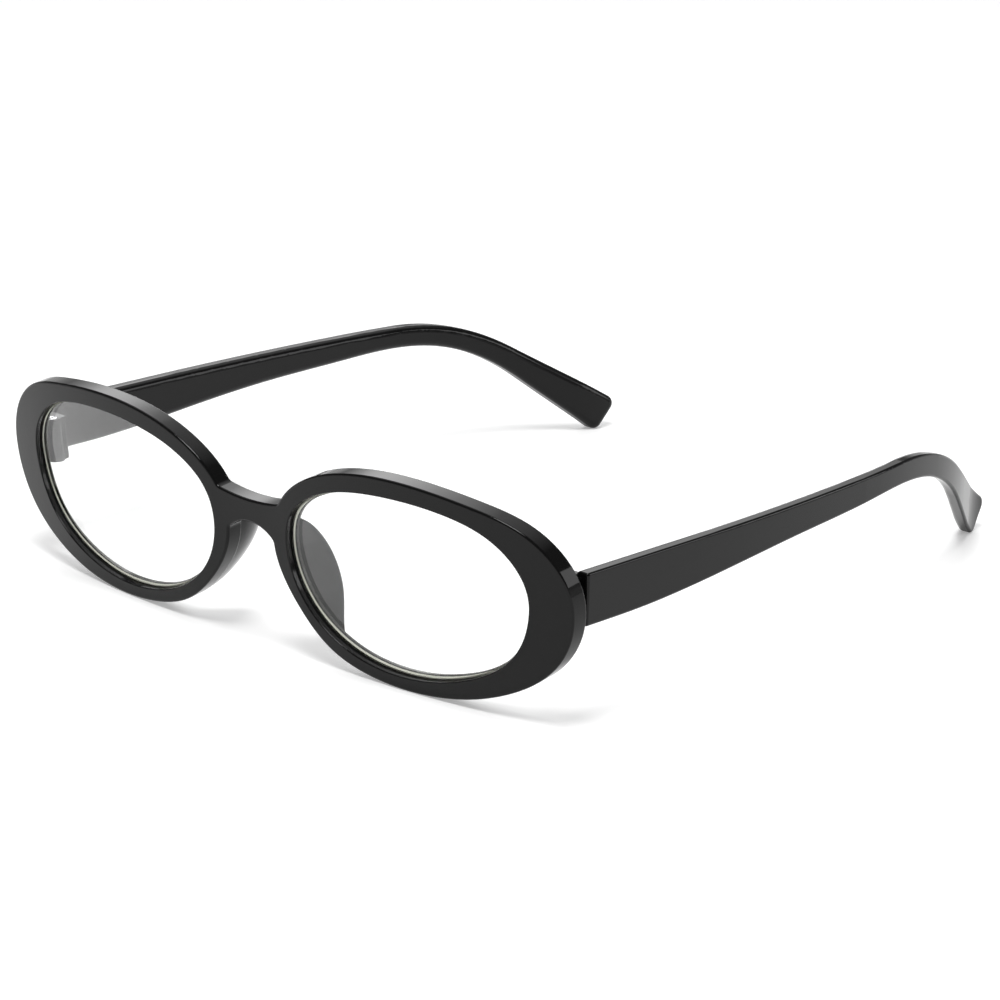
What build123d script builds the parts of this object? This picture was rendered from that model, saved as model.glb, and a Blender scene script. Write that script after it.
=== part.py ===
from build123d import *
import os
from math import asin, copysign, cos, hypot, radians, sin, tan

os.makedirs("parts", exist_ok=True)

# Oval eyeglasses standing open on their lower rims and temple tips, in millimetres.
# X runs across with the wearer's left at +X, the front looks along -Y, Z is up.
# Shapes are drawn with the bridge's face over Y = 0 and set down over the origin at the end.

# Front
front_width = 142.0
front_height = 39.8
front_lean = 7.2  # degrees, the top of the front leans forward
rim_width = 65.4  # one rim's outline, nose side to temple side
opening_width = 53.2
opening_height = 33.6
bridge_gap = 18.8  # between the two lens openings
bottom_wall = 2.7  # rim under the opening
wall_depth = 3.5  # front face to rear face
face_radius = 202.0  # curve of each rim seen from above
face_vertex = 18.4  # place across of each rim's foremost line
bridge_blend = 9.0  # half the width over which the bridge joins the two curves
bridge_top = 27.9  # height of the bridge's upper edge in the middle
bridge_rise = 1.2  # rise of the upper edge where it enters the rim
bridge_top_half = 9.0
bridge_foot = 23.45  # height of the bridge's lower edge in the middle
bridge_arch = 3.1  # fall of the lower edge where it enters the rim
bridge_foot_half = 6.5
bridge_corner = 1.6
front_round = 0.45
rear_round = 0.35
opening_round = 0.2

# Lenses
lens_inset = 1.25  # rim lip in front of the lens
rear_lip = 0.6  # the opening is this much smaller all round behind the lens
lens_thickness = 1.7
lens_bevel = 0.3
lens_tongue = 0.6  # reach of the lens edge into the rim's groove
tongue_thickness = 0.8
seat_clearance = 0.04

# Nose pads, moulded on the rims
pad_depth = 10.8  # face of the rim to the pad's rear edge
pad_start = 2.7  # depth at which the pad begins inside the wall
pad_turn = 4.2  # depth at which the pad begins to flare
pad_flare = 3.0
pad_root = 2.4  # thickness where it leaves the rim
pad_end = 1.8  # thickness at the rear edge
pad_inset = 0.08
pad_nose_side = 3.0  # the pad lies between these two places across
pad_lens_side = 21.0
pad_round = 0.7

# Temples
temple_outside = 70.4  # outer face of the temple from the middle
temple_thickness = 3.1
temple_top = 28.4
temple_height = 9.6  # at the hinge
top_fall = 0.6  # fall of the upper edge towards the ear
tip_at = 141.0  # front end to the tip's lower corner
tip_width = 8.2
tip_end_angle = 52.0  # degrees, slope of the tip's end
tip_top_angle = 31.0  # degrees, slope of the upper edge behind the ear
tip_under_angle = 38.5  # degrees, slope of the lower edge behind the ear
tip_under_length = 22.0
tip_corner = 1.8
ear_radius = 55.0
plan_bend_at = 30.0  # front end to the start of the inward curve
temple_turn = 25.6  # degrees, how far the temple turns towards the head
outside_round = 0.5
inside_round = 1.4

# Hinges
hinge_across = 63.4  # pin axis from the middle
hinge_behind = 2.3  # pin axis behind the rim's rear face
knuckle_radius = 1.75
knuckle_gap = 0.1
swing_clearance = 0.3
end_clearance = 0.35  # rim to the temple's front end
boss_reach = 2.8  # boss behind the pin axis
boss_inside = 1.1  # boss on the nose side of the pin axis
boss_corner = 0.8
boss_foot_round = 0.3
hinge_sink = 1.0  # knuckles end below the temple's upper edge
arm_inside = 0.7  # front's knuckle arm on the nose side of the pin axis
embed = 1.0  # how far a moulded lug runs into the wall that carries it
screw_radius = 0.7
screw_clearance = 0.05
thread_clearance = 0.02
head_radius = 1.15
head_height = 0.8
head_clearance = 0.06
head_sink = 0.1  # head below the knuckle's end
slot_width = 0.35
slot_depth = 0.35
head_chamfer = 0.15
screw_foot = 0.5  # screw ends above the lower knuckle's end

overrun = 5.0  # cutting solids run past what they cut

# Outlines as shares of half the width and half the height, from the temple side over the top
rim_outline_shares = [
    (1.0, 0.03),
    (0.926, 0.472),
    (0.754, 0.738),
    (0.43, 0.912),
    (-0.07, 1.0),
    (-0.44, 0.94),
    (-0.75, 0.738),
    (-0.93, 0.46),
    (-0.992, 0.0),
    (-0.83, -0.502),
    (-0.61, -0.811),
    (-0.323, -0.962),
    (0.0, -1.0),
    (0.6, -0.79),
    (0.86, -0.5),
]
opening_outline_shares = [
    (1.0, 0.06),
    (0.95, 0.45),
    (0.755, 0.765),
    (0.415, 0.95),
    (0.0, 1.0),
    (-0.38, 0.95),
    (-0.73, 0.77),
    (-0.95, 0.46),
    (-1.0, 0.05),
    (-0.885, -0.435),
    (-0.6, -0.81),
    (-0.15, -1.0),
    (0.42, -0.9),
    (0.86, -0.49),
]
# Rear edge of a nose pad as shares of its depth and of the front's height
pad_edge_shares = [(0.3, 0.64), (0.84, 0.54), (1.0, 0.42), (0.93, 0.3), (0.62, 0.18), (0.24, 0.1)]
# Lower edge of a temple as shares of the length to the tip and of its height at the hinge
under_edge_shares = [
    (0.0, 0.0),
    (0.109, 0.01),
    (0.259, 0.156),
    (0.422, 0.333),
    (0.572, 0.427),
    (0.679, 0.469),
    (0.766, 0.27),
]
# Turns of a temple seen from above: run as a share of the length to the tip, turn as a share
plan_turn_shares = [(0.36, 0.2), (0.214, 0.36), (0.146, 0.44), (0.056, 0.0), (0.1, -1.15)]

lean = radians(front_lean)
rim_half = rim_width / 2
rim_centre = front_width / 2 - rim_half
rim_middle = front_height / 2
opening_centre = (bridge_gap + opening_width) / 2
opening_middle = bottom_wall + opening_height / 2

# Curve of the front face seen from above
blend_angle = asin((face_vertex - bridge_blend) / face_radius)
blend_radius = face_vertex / sin(blend_angle) - face_radius
blend_centre = face_radius - (face_radius + blend_radius) * cos(blend_angle)
bridge_advance = blend_centre + blend_radius
end_angle = asin((front_width / 2 + overrun - face_vertex) / face_radius)

face_plane = Plane(origin=(0, 0, 0), x_dir=(1, 0, 0), z_dir=(0, -cos(lean), -sin(lean)))
plan_plane = Plane(origin=(0, 0, 0), x_dir=(1, 0, 0), z_dir=(0, -sin(lean), cos(lean)))
side_plane = Plane(origin=(0, 0, 0), x_dir=(0, cos(lean), sin(lean)), z_dir=(1, 0, 0))


def face_depth(across, depth=0.0):
    """Distance behind the bridge's face of a line that lies a depth behind the rim's face."""
    run = abs(across) - face_vertex
    return face_radius - bridge_advance - ((face_radius - depth) ** 2 - run**2) ** 0.5


def face_point(angle, depth, side):
    """Point seen from above, at an angle from the rim's foremost line."""
    radius = face_radius - depth
    across = side * (face_vertex + radius * sin(angle))
    return (across, face_radius - bridge_advance - radius * cos(angle))


def behind_rim(across, height):
    """Level distance from the origin back to the rim's rear face."""
    return (face_depth(across, wall_depth) - height * sin(lean)) / cos(lean)


def oval(shares, centre, middle, half_wide, half_high, side, grow):
    """Outline points from shares, each moved out from the middle by the growth."""
    points = []
    for across, up in shares:
        reach = hypot(across * half_wide, up * half_high)
        share = (reach + grow) / reach
        points.append(
            (side * (centre + across * share * half_wide), middle + up * share * half_high)
        )
    return points


def rim_points(side, grow=0.0):
    """Outline of a rim."""
    return oval(
        rim_outline_shares, rim_centre, rim_middle, rim_half, rim_middle, side, grow
    )


def opening_points(side, grow=0.0):
    """Outline of a lens opening."""
    return oval(
        opening_outline_shares,
        opening_centre,
        opening_middle,
        opening_width / 2,
        opening_height / 2,
        side,
        grow,
    )


def slab(front_depth, rear_depth):
    """Curved slab between two depths behind the face, taller than the front."""
    with BuildPart() as body:
        with BuildSketch(plan_plane.offset(-overrun)):
            with BuildLine():
                for depth in (front_depth, rear_depth):
                    for side in (-1, 1):
                        ThreePointArc(
                            face_point(-blend_angle, depth, side),
                            face_point(end_angle / 2, depth, side),
                            face_point(end_angle, depth, side),
                        )
                    ThreePointArc(
                        face_point(-blend_angle, depth, -1),
                        (0, depth),
                        face_point(-blend_angle, depth, 1),
                    )
                for side in (-1, 1):
                    Line(
                        face_point(end_angle, front_depth, side),
                        face_point(end_angle, rear_depth, side),
                    )
            make_face()
        extrude(amount=front_height + 2 * overrun)
    return body.part


def opening_prism(side, grow, front_depth, rear_depth):
    """Lens opening, grown outwards, between two depths behind the face."""
    with BuildPart() as body:
        with BuildSketch(face_plane.offset(overrun)):
            with BuildLine():
                Spline(*opening_points(side, grow), periodic=True)
            make_face()
        extrude(amount=-prism_depth)
        add(slab(front_depth, rear_depth), mode=Mode.INTERSECT)
    return body.part


def depth_of(edge):
    """How deep the middle of an edge lies behind the face."""
    spot = plan_plane.to_local_coords(edge @ 0.5)
    if abs(spot.X) < bridge_blend:
        return spot.Y
    return face_radius - hypot(abs(spot.X) - face_vertex, face_radius - bridge_advance - spot.Y)


prism_depth = face_depth(front_width / 2, wall_depth) + 2 * overrun

# Front before it is set down: rims and bridge, openings with grooves, pads, hinge arms
lens_rear = lens_inset + lens_thickness + seat_clearance
tongue_front = lens_inset + (lens_thickness - tongue_thickness) / 2
tongue_rear = tongue_front + tongue_thickness

with BuildPart() as front_body:
    with BuildSketch(face_plane.offset(overrun)) as front_outline:
        for side in (-1, 1):
            with BuildLine():
                Spline(*rim_points(side), periodic=True)
            make_face()
        with BuildLine():
            ThreePointArc(
                (-bridge_top_half, bridge_top + bridge_rise),
                (0, bridge_top),
                (bridge_top_half, bridge_top + bridge_rise),
            )
            Line(
                (bridge_top_half, bridge_top + bridge_rise),
                (bridge_foot_half, bridge_foot - bridge_arch),
            )
            ThreePointArc(
                (bridge_foot_half, bridge_foot - bridge_arch),
                (0, bridge_foot),
                (-bridge_foot_half, bridge_foot - bridge_arch),
            )
            Line(
                (-bridge_foot_half, bridge_foot - bridge_arch),
                (-bridge_top_half, bridge_top + bridge_rise),
            )
        make_face()
        corners = front_outline.vertices().filter_by_position(
            Axis.X, -bridge_top_half, bridge_top_half
        )
        fillet(corners, bridge_corner)
    extrude(amount=-prism_depth)
    add(slab(0, wall_depth), mode=Mode.INTERSECT)
    for depth, size in ((0, front_round), (wall_depth, rear_round)):
        rim_edges = front_body.edges().filter_by(
            lambda edge: abs(depth_of(edge) - depth) < seat_clearance
        )
        fillet(rim_edges, size)
    for side in (-1, 1):
        add(opening_prism(side, 0, -overrun, lens_rear), mode=Mode.SUBTRACT)
        add(opening_prism(side, -rear_lip, -overrun, wall_depth + overrun), mode=Mode.SUBTRACT)
    lip_edges = front_body.edges().filter_by(lambda edge: abs(depth_of(edge)) < seat_clearance)
    fillet(lip_edges.filter_by(GeomType.LINE, reverse=True), opening_round)
    for side in (-1, 1):
        add(
            opening_prism(
                side,
                lens_tongue + seat_clearance,
                tongue_front - seat_clearance,
                tongue_rear + seat_clearance,
            ),
            mode=Mode.SUBTRACT,
        )

# Nose pad of the +X side: a flaring shell behind the rim, cut to a crescent
pad_stations = ((pad_start, 0.0), (pad_turn, pad_inset), (pad_depth + pad_round, pad_flare))
with BuildPart() as nose_pad:
    for thickness, mode in ((0.0, Mode.ADD), (1.0, Mode.SUBTRACT)):
        for depth, inset in pad_stations:
            share = (depth - pad_start) / (pad_depth - pad_start)
            wall = thickness * (pad_root + share * (pad_end - pad_root))
            with BuildSketch(face_plane.offset(-depth)):
                with BuildLine():
                    Spline(*rim_points(1, -inset - pad_inset - wall), periodic=True)
                make_face()
        loft(mode=mode)
    with BuildSketch(side_plane.offset(pad_nose_side)):
        with BuildLine():
            edge_points = [
                (along * pad_depth, up * front_height) for along, up in pad_edge_shares
            ]
            Spline(*edge_points)
            Line(edge_points[-1], edge_points[0])
        make_face()
    extrude(amount=pad_lens_side - pad_nose_side, mode=Mode.INTERSECT)
    fin_edges = nose_pad.edges().filter_by(
        lambda edge: plan_plane.to_local_coords(edge @ 0.5).Y > wall_depth
        and abs(plan_plane.to_local_coords((edge @ 1) - (edge @ 0)).Y) < edge.length
        and edge.length > pad_depth / 2
    )
    fillet(fin_edges, pad_round)

# Hinge: the pin leans with the front, and the knuckle divisions are square to it
pin_back = face_depth(hinge_across, wall_depth) + hinge_behind
temple_foot = temple_top - temple_height
pin_foot = (temple_foot - pin_back * sin(lean)) / cos(lean)
hinge_height = temple_height - hinge_sink
knuckle_height = hinge_height / cos(lean) / 3
arm_foot = pin_foot + knuckle_height + knuckle_gap
arm_height = knuckle_height - 2 * knuckle_gap

with BuildPart() as hinge_arm:
    with BuildSketch(plan_plane.offset(arm_foot)):
        with Locations((hinge_across, pin_back)):
            Circle(knuckle_radius)
        with Locations((hinge_across + knuckle_radius, pin_back)):
            Rectangle(
                knuckle_radius + arm_inside, hinge_behind + embed, align=(Align.MAX, Align.MAX)
            )
    extrude(amount=arm_height)
    with Locations(plan_plane * Pos(hinge_across, pin_back, arm_foot)):
        Cylinder(
            screw_radius + screw_clearance,
            arm_height,
            align=(Align.CENTER, Align.CENTER, Align.MIN),
            mode=Mode.SUBTRACT,
        )

# Front before it is set down
with BuildPart() as loose_front:
    add(front_body.part)
    for whole in (nose_pad.part, hinge_arm.part):
        add(whole)
        add(mirror(whole, about=Plane.YZ))
front_box = loose_front.part.bounding_box()

# Lens of the +X side
with BuildPart() as lens_body:
    add(opening_prism(1, -seat_clearance, lens_inset, lens_inset + lens_thickness))
    lens_edges = lens_body.edges().filter_by(GeomType.LINE, reverse=True)
    chamfer(lens_edges, lens_bevel)
    add(opening_prism(1, lens_tongue, tongue_front, tongue_rear))

# Temple of the +X side: side view run across, cut to the band seen from above
temple_front = behind_rim(temple_outside, temple_foot) + end_clearance
end_slope = radians(tip_end_angle)
under_slope = radians(tip_under_angle)
corner_half = radians(180 - tip_end_angle - tip_under_angle) / 2
corner_tilt = radians(90) - end_slope - corner_half
corner_drop = tip_corner * (cos(corner_tilt) / sin(corner_half) - 1)
tip_low = (temple_front + tip_at, front_box.min.Z - corner_drop)
tip_high = (tip_low[0] + tip_width * cos(end_slope), tip_low[1] + tip_width * sin(end_slope))
ear_top = temple_top - top_fall
ear_bend = (tip_high[0] - (ear_top - tip_high[1]) / tan(radians(tip_top_angle)), ear_top)
under_end = (
    tip_low[0] - tip_under_length * cos(under_slope),
    tip_low[1] + tip_under_length * sin(under_slope),
)
under_points = [
    (temple_front + along * tip_at, temple_foot + up * temple_height)
    for along, up in under_edge_shares
]


def faces_sideways(face, side):
    """Whether a face looks more to the given side than along or up."""
    normal = face.normal_at()
    return side * normal.X > hypot(normal.Y, normal.Z)


def plan_face(inset):
    """Line of the temple's side face seen from above, inset from the outer face; its rear end."""
    across = temple_outside - inset
    last = Line((across, temple_front - overrun), (across, temple_front + plan_bend_at))
    for run_share, turn_share in plan_turn_shares:
        run = run_share * tip_at
        turn = turn_share * temple_turn
        if turn == 0:
            last = Line(last @ 1, (last @ 1) + (last % 1) * run)
        else:
            radius = abs(run / radians(turn)) - copysign(inset, turn)
            last = JernArc(start=last @ 1, tangent=last % 1, radius=radius, arc_size=turn)
    return last @ 1


with BuildPart() as temple_body:
    with BuildSketch(Plane.YZ) as side_view:
        with BuildLine():
            FilletPolyline((temple_front, temple_top), ear_bend, tip_high, radius=ear_radius)
            Line(tip_high, tip_low)
            Line(tip_low, under_end)
            Spline(
                *under_points,
                under_end,
                tangents=[(1, 0), (cos(under_slope), -sin(under_slope))],
            )
            Line((temple_front, temple_foot), (temple_front, temple_top))
        make_face()
        tip_corners = side_view.vertices().filter_by_position(
            Axis.X, tip_low[0] - tip_corner, tip_high[0] + tip_corner
        )
        fillet(tip_corners, tip_corner)
    extrude(amount=temple_outside + overrun)
    with BuildSketch(Plane.XY.offset(-overrun)):
        with BuildLine():
            Line(plan_face(0.0), plan_face(temple_thickness))
            Line(
                (temple_outside - temple_thickness, temple_front - overrun),
                (temple_outside, temple_front - overrun),
            )
        make_face()
    extrude(amount=temple_top + 2 * overrun, mode=Mode.INTERSECT)
    for side, size in ((-1, inside_round), (1, outside_round)):
        front_end = temple_body.faces().sort_by(Axis.Y)[0]
        side_faces = temple_body.faces().filter_by(lambda face: faces_sideways(face, side))
        other_faces = temple_body.faces() - side_faces - ShapeList([front_end])
        fillet(side_faces.edges() & other_faces.edges(), size)
    fillet(temple_body.faces().sort_by(Axis.Y)[0].edges(), outside_round)

# Hinge block and fork on the inside of the temple
with BuildPart() as hinge_fork:
    with BuildSketch(plan_plane.offset(pin_foot - overrun)) as fork_outline:
        with Locations((hinge_across, pin_back)):
            Circle(knuckle_radius)
        with BuildLine():
            block_outside = temple_outside - temple_thickness / 2
            Polyline(
                (hinge_across - boss_inside, pin_back),
                (hinge_across - boss_inside, pin_back + boss_reach),
                (block_outside, pin_back + boss_reach),
                (block_outside, pin_back),
                close=True,
            )
        make_face()
        rear_corner = fork_outline.vertices().sort_by(Axis.Y)[-2:].sort_by(Axis.X)[0]
        fillet(rear_corner, boss_corner)
    extrude(amount=3 * knuckle_height + 2 * overrun)
    with Locations((block_outside, temple_front - overrun, temple_foot)):
        Box(
            block_outside - hinge_across + 2 * overrun,
            boss_reach + 3 * overrun,
            hinge_height,
            align=(Align.MAX, Align.MIN, Align.MIN),
            mode=Mode.INTERSECT,
        )
    low_rear = hinge_fork.edges().group_by(Axis.Z)[0].sort_by(Axis.Y)[-1]
    fillet(low_rear, boss_foot_round)

slot_at = plan_plane * Pos(
    hinge_across + knuckle_radius + swing_clearance,
    pin_back + knuckle_radius + swing_clearance,
    pin_foot + knuckle_height,
)
with BuildPart() as temple_whole:
    add(temple_body.part)
    add(hinge_fork.part)
    with Locations(slot_at):
        Box(
            2 * knuckle_radius + 2 * overrun,
            2 * knuckle_radius + 2 * overrun,
            knuckle_height,
            align=(Align.MAX, Align.MAX, Align.MIN),
            mode=Mode.SUBTRACT,
        )
    with Locations(plan_plane * Pos(hinge_across, pin_back, pin_foot + knuckle_height)):
        Cylinder(
            screw_radius + thread_clearance,
            knuckle_height + overrun,
            align=(Align.CENTER, Align.CENTER, Align.MAX),
            mode=Mode.SUBTRACT,
        )
        Cylinder(
            screw_radius + screw_clearance,
            2 * knuckle_height + overrun,
            align=(Align.CENTER, Align.CENTER, Align.MIN),
            mode=Mode.SUBTRACT,
        )
    with Locations(
        plan_plane
        * Pos(hinge_across, pin_back, pin_foot + 3 * knuckle_height - head_height - head_sink)
    ):
        Cylinder(
            head_radius + head_clearance,
            head_height + overrun,
            align=(Align.CENTER, Align.CENTER, Align.MIN),
            mode=Mode.SUBTRACT,
        )

# Hinge screw, drawn upright on the foot of the pin axis
head_foot = 3 * knuckle_height - head_height - head_sink
with BuildPart() as screw_body:
    with Locations((0, 0, head_foot)):
        Cylinder(head_radius, head_height, align=(Align.CENTER, Align.CENTER, Align.MIN))
        Cylinder(
            screw_radius,
            head_foot - screw_foot,
            align=(Align.CENTER, Align.CENTER, Align.MAX),
        )
    end_rims = screw_body.edges().filter_by(GeomType.CIRCLE).sort_by(Axis.Z)
    chamfer((end_rims[0], end_rims[-1]), head_chamfer)
    with Locations((0, 0, head_foot + head_height)):
        Box(
            slot_width,
            2 * head_radius,
            2 * slot_depth,
            mode=Mode.SUBTRACT,
        )

# Everything is set down over the origin: rims and temple tips stand on Z = 0
temple_box = temple_whole.part.bounding_box()
seat = Pos(0, -(front_box.min.Y + temple_box.max.Y) / 2, -front_box.min.Z)

with BuildPart() as frame_front:
    add(seat * loose_front.part)
frame_front.part.label = "frame_front"
export_step(frame_front.part, "parts/frame_front.step")

with BuildPart() as lens_left:
    add(seat * lens_body.part)
lens_left.part.label = "lens_left"
export_step(lens_left.part, "parts/lens_left.step")

with BuildPart() as lens_right:
    add(mirror(lens_left.part, about=Plane.YZ))
lens_right.part.label = "lens_right"
export_step(lens_right.part, "parts/lens_right.step")

with BuildPart() as temple_left:
    add(seat * temple_whole.part)
temple_left.part.label = "temple_left"
export_step(temple_left.part, "parts/temple_left.step")

with BuildPart() as temple_right:
    add(mirror(temple_left.part, about=Plane.YZ))
temple_right.part.label = "temple_right"
export_step(temple_right.part, "parts/temple_right.step")

with BuildPart() as hinge_screw_left:
    add(seat * plan_plane.location * Pos(hinge_across, pin_back, pin_foot) * screw_body.part)
hinge_screw_left.part.label = "hinge_screw_left"
export_step(hinge_screw_left.part, "parts/hinge_screw_left.step")

with BuildPart() as hinge_screw_right:
    add(mirror(hinge_screw_left.part, about=Plane.YZ))
hinge_screw_right.part.label = "hinge_screw_right"
export_step(hinge_screw_right.part, "parts/hinge_screw_right.step")
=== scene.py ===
import math

import bpy
from mathutils import Matrix, Vector

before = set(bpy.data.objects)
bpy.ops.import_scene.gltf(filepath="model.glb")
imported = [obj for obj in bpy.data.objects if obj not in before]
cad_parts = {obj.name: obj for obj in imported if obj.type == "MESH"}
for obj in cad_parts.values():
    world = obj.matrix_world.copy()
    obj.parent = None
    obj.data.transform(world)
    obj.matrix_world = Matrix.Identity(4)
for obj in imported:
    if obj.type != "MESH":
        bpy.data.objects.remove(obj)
scene = bpy.context.scene
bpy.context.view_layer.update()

# Black plastic
PLASTIC_SHADE = 0.0045
PLASTIC_UNEVEN = (0.8, 1.2)  # darkest and lightest share of the shade
PLASTIC_GRAIN = 60.0
PLASTIC_DETAIL = 3.0
PLASTIC_ROUGHNESS = (0.05, 0.085)
PLASTIC_GLINT = 0.2  # specular level
PLASTIC_WAVE = 0.02  # strength of the waviness
PLASTIC_WAVE_DEPTH = 0.0002
PLASTIC_IOR = 1.5

# Lens plastic
LENS_TINT = (0.985, 0.99, 0.985, 1.0)
LENS_GRAIN = 25.0
LENS_ROUGHNESS = (0.0, 0.006)
LENS_GLINT = 0.42
LENS_IOR = 1.5
LENS_SHADE = (0.93, 0.94, 0.935, 1.0)  # light that reaches the floor through the lens
EDGE_COLOUR = (0.94, 0.94, 0.82, 1.0)
EDGE_ROUGHNESS = 0.5
EDGE_FACING = (0.82, 0.88)  # the cut edge starts where the surface faces forward less than this

# Screw steel
STEEL_COLOUR = (0.62, 0.62, 0.63, 1.0)
STEEL_GRAIN = 900.0
STEEL_ROUGHNESS = (0.18, 0.32)

# Floor
FLOOR_SIZE = 6.0
FLOOR_TONE = (0.86, 0.88)
FLOOR_GRAIN = 3.0
FLOOR_LIFT = 0.32  # added where the camera, a mirror or a lens looks at the floor
WHITE = (1.0, 1.0, 1.0, 1.0)

# Brightness of the room by the sine of the elevation: a white sweep, then dim walls
SWEEP_LEVELS = ((0.0, 0.9), (0.1, 0.9), (0.22, 0.18), (1.0, 0.18))

# Wide soft glow behind the glasses with a brighter spot in it, both by the cosine of the angle
# from the middle; the wide one fades out towards the floor
GLOW_TOWARDS = (-45.0, 38.0)  # azimuth from +Y and elevation
GLOW_LEVELS = ((0.56, 0.0), (0.69, 0.7), (0.82, 1.3), (0.94, 1.5), (1.0, 2.1))
GLOW_FOOT = ((0.64, 0.0), (0.76, 1.0))
SPOT_TOWARDS = (-48.0, 31.0)
SPOT_LEVELS = ((0.93, 0.0), (0.965, 1.6), (0.985, 3.6), (1.0, 5.0))

# Lamps, in metres, watts and degrees
TOP_PLACE = (0.16, -0.34, 1.16)
TOP_TARGET = (0.0, -0.06, 0.0)
TOP_SIDE = 0.45
TOP_POWER = 9.0
PANEL_TOWARDS = (40.0, 21.0)  # azimuth from +Y and elevation
PANEL_SIZE = (0.9, 0.5)
PANEL_GLOW = 3.2
PANEL_REACH = 1.6
PANEL_TARGET = (0.0, 0.0, 0.02)

# Camera: place and axes fitted to the photograph
CAMERA_RIGHT = Vector((0.73960524, 0.67245194, 0.02815106))
CAMERA_UP = Vector((-0.22120635, 0.20336809, 0.95378675))
CAMERA_BACK = Vector((0.63565072, -0.71165287, 0.29916274))
CAMERA_PLACE = Vector((0.466001, -0.531783, 0.232434))
CAMERA_SENSOR = 36.0
CAMERA_LENS = 137.62
CAMERA_CLIP = (0.01, 20.0)


def new_material(name):
    material = bpy.data.materials.new(name)
    material.use_nodes = True
    material.node_tree.nodes.clear()
    return material, material.node_tree.nodes, material.node_tree.links


def show(nodes, links, shader):
    """Send a shader to the material's surface."""
    out = nodes.new("ShaderNodeOutputMaterial")
    links.new(shader, out.inputs["Surface"])


def noise(nodes, links, scale):
    """Noise fixed to the object; returns the noise node and the coordinates node."""
    place = nodes.new("ShaderNodeTexCoord")
    cloud = nodes.new("ShaderNodeTexNoise")
    cloud.inputs["Scale"].default_value = scale
    links.new(place.outputs["Object"], cloud.inputs["Vector"])
    return cloud, place


def spread(nodes, links, value, least, most):
    """Stretch a value from 0 to 1 over a range."""
    stretch = nodes.new("ShaderNodeMapRange")
    stretch.inputs["To Min"].default_value = least
    stretch.inputs["To Max"].default_value = most
    links.new(value, stretch.inputs["Value"])
    return stretch


def grey(nodes, links, value):
    """Colour with the same value in all three channels."""
    colour = nodes.new("ShaderNodeCombineColor")
    for channel in ("Red", "Green", "Blue"):
        links.new(value, colour.inputs[channel])
    return colour.outputs["Color"]


def scaled(nodes, links, value, factor):
    scale = nodes.new("ShaderNodeMath")
    scale.operation = "MULTIPLY"
    scale.inputs[1].default_value = factor
    links.new(value, scale.inputs[0])
    return scale.outputs[0]


def mixed(nodes, links, share, first, second):
    """Mix of two shaders: the second's share is given."""
    mix = nodes.new("ShaderNodeMixShader")
    links.new(share, mix.inputs["Fac"])
    links.new(first, mix.inputs[1])
    links.new(second, mix.inputs[2])
    return mix.outputs["Shader"]


def any_ray(nodes, links, names):
    """1 for rays of any of the named kinds."""
    path = nodes.new("ShaderNodeLightPath")
    last = path.outputs[names[0]]
    for name in names[1:]:
        most = nodes.new("ShaderNodeMath")
        most.operation = "MAXIMUM"
        links.new(last, most.inputs[0])
        links.new(path.outputs[name], most.inputs[1])
        last = most.outputs[0]
    return last


def black_plastic(name):
    """Tumble-polished black plastic with faint waviness."""
    material, nodes, links = new_material(name)
    cloud, _ = noise(nodes, links, PLASTIC_GRAIN)
    cloud.inputs["Detail"].default_value = PLASTIC_DETAIL
    least, most = (share * PLASTIC_SHADE for share in PLASTIC_UNEVEN)
    tone = spread(nodes, links, cloud.outputs["Fac"], least, most)
    gloss = spread(nodes, links, cloud.outputs["Fac"], *PLASTIC_ROUGHNESS)
    bump = nodes.new("ShaderNodeBump")
    bump.inputs["Strength"].default_value = PLASTIC_WAVE
    bump.inputs["Distance"].default_value = PLASTIC_WAVE_DEPTH
    links.new(cloud.outputs["Fac"], bump.inputs["Height"])
    surface = nodes.new("ShaderNodeBsdfPrincipled")
    surface.inputs["IOR"].default_value = PLASTIC_IOR
    surface.inputs["Specular IOR Level"].default_value = PLASTIC_GLINT
    links.new(grey(nodes, links, tone.outputs["Result"]), surface.inputs["Base Color"])
    links.new(gloss.outputs["Result"], surface.inputs["Roughness"])
    links.new(bump.outputs["Normal"], surface.inputs["Normal"])
    show(nodes, links, surface.outputs["BSDF"])
    return material


def clear_plastic(name):
    """Lens plastic with a pale matt cut edge where the surface faces sideways.

    Shadow and diffuse rays pass straight through it.
    """
    material, nodes, links = new_material(name)
    cloud, place = noise(nodes, links, LENS_GRAIN)
    gloss = spread(nodes, links, cloud.outputs["Fac"], *LENS_ROUGHNESS)
    lens = nodes.new("ShaderNodeBsdfPrincipled")
    lens.inputs["Base Color"].default_value = LENS_TINT
    lens.inputs["Transmission Weight"].default_value = 1.0
    lens.inputs["IOR"].default_value = LENS_IOR
    lens.inputs["Specular IOR Level"].default_value = LENS_GLINT
    links.new(gloss.outputs["Result"], lens.inputs["Roughness"])
    edge = nodes.new("ShaderNodeBsdfPrincipled")
    edge.inputs["Base Color"].default_value = EDGE_COLOUR
    edge.inputs["Roughness"].default_value = EDGE_ROUGHNESS
    lie = nodes.new("ShaderNodeSeparateXYZ")
    links.new(place.outputs["Normal"], lie.inputs["Vector"])
    forward = nodes.new("ShaderNodeMath")
    forward.operation = "ABSOLUTE"
    links.new(lie.outputs["Y"], forward.inputs[0])
    sideways = spread(nodes, links, forward.outputs[0], 1.0, 0.0)
    sideways.inputs["From Min"].default_value = EDGE_FACING[0]
    sideways.inputs["From Max"].default_value = EDGE_FACING[1]
    body = mixed(
        nodes, links, sideways.outputs["Result"], lens.outputs["BSDF"], edge.outputs["BSDF"]
    )
    passing = nodes.new("ShaderNodeBsdfTransparent")
    passing.inputs["Color"].default_value = LENS_SHADE
    straight = any_ray(nodes, links, ("Is Shadow Ray", "Is Diffuse Ray"))
    show(nodes, links, mixed(nodes, links, straight, body, passing.outputs["BSDF"]))
    return material


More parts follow.
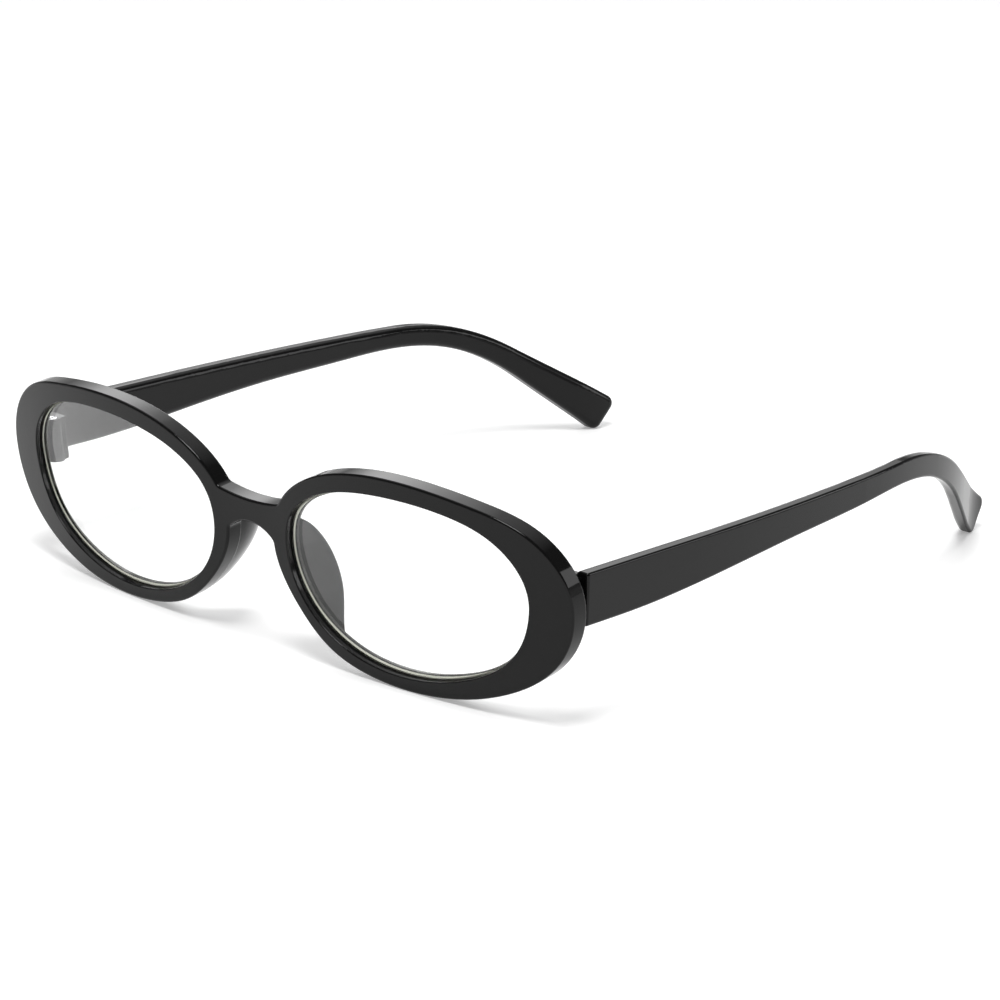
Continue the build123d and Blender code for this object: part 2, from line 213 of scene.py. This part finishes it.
def screw_steel(name):
    """Bright turned steel."""
    material, nodes, links = new_material(name)
    cloud, _ = noise(nodes, links, STEEL_GRAIN)
    gloss = spread(nodes, links, cloud.outputs["Fac"], *STEEL_ROUGHNESS)
    surface = nodes.new("ShaderNodeBsdfPrincipled")
    surface.inputs["Base Color"].default_value = STEEL_COLOUR
    surface.inputs["Metallic"].default_value = 1.0
    links.new(gloss.outputs["Result"], surface.inputs["Roughness"])
    show(nodes, links, surface.outputs["BSDF"])
    return material


def floor_white(name):
    """White card: the camera sees it as white, darker only where the glasses shade it."""
    material, nodes, links = new_material(name)
    cloud, _ = noise(nodes, links, FLOOR_GRAIN)
    tone = spread(nodes, links, cloud.outputs["Fac"], *FLOOR_TONE)
    card = nodes.new("ShaderNodeBsdfDiffuse")
    links.new(grey(nodes, links, tone.outputs["Result"]), card.inputs["Color"])
    looked_at = any_ray(nodes, links, ("Is Camera Ray", "Is Glossy Ray", "Is Transmission Ray"))
    lift = nodes.new("ShaderNodeEmission")
    lift.inputs["Color"].default_value = WHITE
    links.new(scaled(nodes, links, looked_at, FLOOR_LIFT), lift.inputs["Strength"])
    both = nodes.new("ShaderNodeAddShader")
    links.new(card.outputs["BSDF"], both.inputs[0])
    links.new(lift.outputs["Emission"], both.inputs[1])
    show(nodes, links, both.outputs["Shader"])
    return material


def direction(azimuth, elevation):
    """Unit vector at an azimuth from +Y towards +X and an elevation, in degrees."""
    a, e = math.radians(azimuth), math.radians(elevation)
    return Vector((math.sin(a) * math.cos(e), math.cos(a) * math.cos(e), math.sin(e)))


def nearness(nodes, links, place, towards):
    """Cosine of the angle between the looked-up direction and the given one."""
    near = nodes.new("ShaderNodeVectorMath")
    near.operation = "DOT_PRODUCT"
    near.inputs[1].default_value = direction(*towards)
    links.new(place.outputs["Generated"], near.inputs[0])
    return near.outputs["Value"]


def level_curve(nodes, links, value, levels):
    """Level read off a chain of (value, level) points."""
    top = max(level for _, level in levels)
    curve = nodes.new("ShaderNodeValToRGB")
    points = curve.color_ramp.elements
    for at, _ in levels[2:]:
        points.new(at)
    for point, (at, level) in zip(points, levels):
        point.position = at
        point.color = (level / top, level / top, level / top, 1.0)
    links.new(value, curve.inputs["Fac"])
    return scaled(nodes, links, curve.outputs["Color"], top)


def studio_world(name):
    """Room that lights the object; the camera and the lenses see plain white instead."""
    world = bpy.data.worlds.new(name)
    world.use_nodes = True
    nodes, links = world.node_tree.nodes, world.node_tree.links
    nodes.clear()
    place = nodes.new("ShaderNodeTexCoord")
    split = nodes.new("ShaderNodeSeparateXYZ")
    links.new(place.outputs["Generated"], split.inputs["Vector"])
    sweep = level_curve(nodes, links, split.outputs["Z"], SWEEP_LEVELS)
    foot = level_curve(nodes, links, split.outputs["Z"], GLOW_FOOT)
    glow = level_curve(nodes, links, nearness(nodes, links, place, GLOW_TOWARDS), GLOW_LEVELS)
    spot = level_curve(nodes, links, nearness(nodes, links, place, SPOT_TOWARDS), SPOT_LEVELS)
    room = nodes.new("ShaderNodeMath")
    room.operation = "MULTIPLY_ADD"
    links.new(glow, room.inputs[0])
    links.new(foot, room.inputs[1])
    links.new(sweep, room.inputs[2])
    lit = nodes.new("ShaderNodeMath")
    lit.operation = "ADD"
    links.new(room.outputs[0], lit.inputs[0])
    links.new(spot, lit.inputs[1])
    studio = nodes.new("ShaderNodeBackground")
    links.new(lit.outputs[0], studio.inputs["Strength"])
    white = nodes.new("ShaderNodeBackground")
    white.inputs["Color"].default_value = WHITE
    white.inputs["Strength"].default_value = 1.0
    looked_at = any_ray(nodes, links, ("Is Camera Ray", "Is Transmission Ray"))
    out = nodes.new("ShaderNodeOutputWorld")
    shown = mixed(
        nodes, links, looked_at, studio.outputs["Background"], white.outputs["Background"]
    )
    links.new(shown, out.inputs["Surface"])
    return world


def soft_lamp(name, place, target, wide, high, power):
    light = bpy.data.lights.new(name, "AREA")
    light.shape = "RECTANGLE"
    light.size = wide
    light.size_y = high
    light.energy = power
    lamp = bpy.data.objects.new(name, light)
    scene.collection.objects.link(lamp)
    lamp.location = place
    aim = Vector(target) - Vector(place)
    lamp.rotation_euler = aim.to_track_quat("-Z", "Y").to_euler()


plastic = black_plastic("black_plastic")
lens_plastic = clear_plastic("clear_plastic")
steel = screw_steel("screw_steel")

for node, material in (
    ("frame_front", plastic),
    ("lens_left", lens_plastic),
    ("lens_right", lens_plastic),
    ("temple_left", plastic),
    ("temple_right", plastic),
    ("hinge_screw_left", steel),
    ("hinge_screw_right", steel),
):
    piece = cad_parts[node]
    piece.data.materials.clear()
    piece.data.materials.append(material)

bpy.ops.mesh.primitive_plane_add(size=FLOOR_SIZE, location=(0, 0, 0))
floor = bpy.context.object
floor.name = "floor"
floor.data.materials.append(floor_white("floor_white"))

scene.world = studio_world("studio")
soft_lamp("top_box", TOP_PLACE, TOP_TARGET, TOP_SIDE, TOP_SIDE, TOP_POWER)
# a panel's power follows from the glow that its face has to have
panel_power = PANEL_GLOW * math.pi * PANEL_SIZE[0] * PANEL_SIZE[1]
panel_place = PANEL_REACH * direction(*PANEL_TOWARDS)
soft_lamp("side_panel", panel_place, PANEL_TARGET, *PANEL_SIZE, panel_power)

camera_data = bpy.data.cameras.new("camera")
camera_data.sensor_width = CAMERA_SENSOR
camera_data.lens = CAMERA_LENS
camera_data.clip_start, camera_data.clip_end = CAMERA_CLIP
camera = bpy.data.objects.new("camera", camera_data)
scene.collection.objects.link(camera)
turn = Matrix((CAMERA_RIGHT, CAMERA_UP, CAMERA_BACK)).transposed().to_4x4()
camera.matrix_world = Matrix.Translation(CAMERA_PLACE) @ turn
scene.camera = camera

scene.view_settings.view_transform = "Standard"
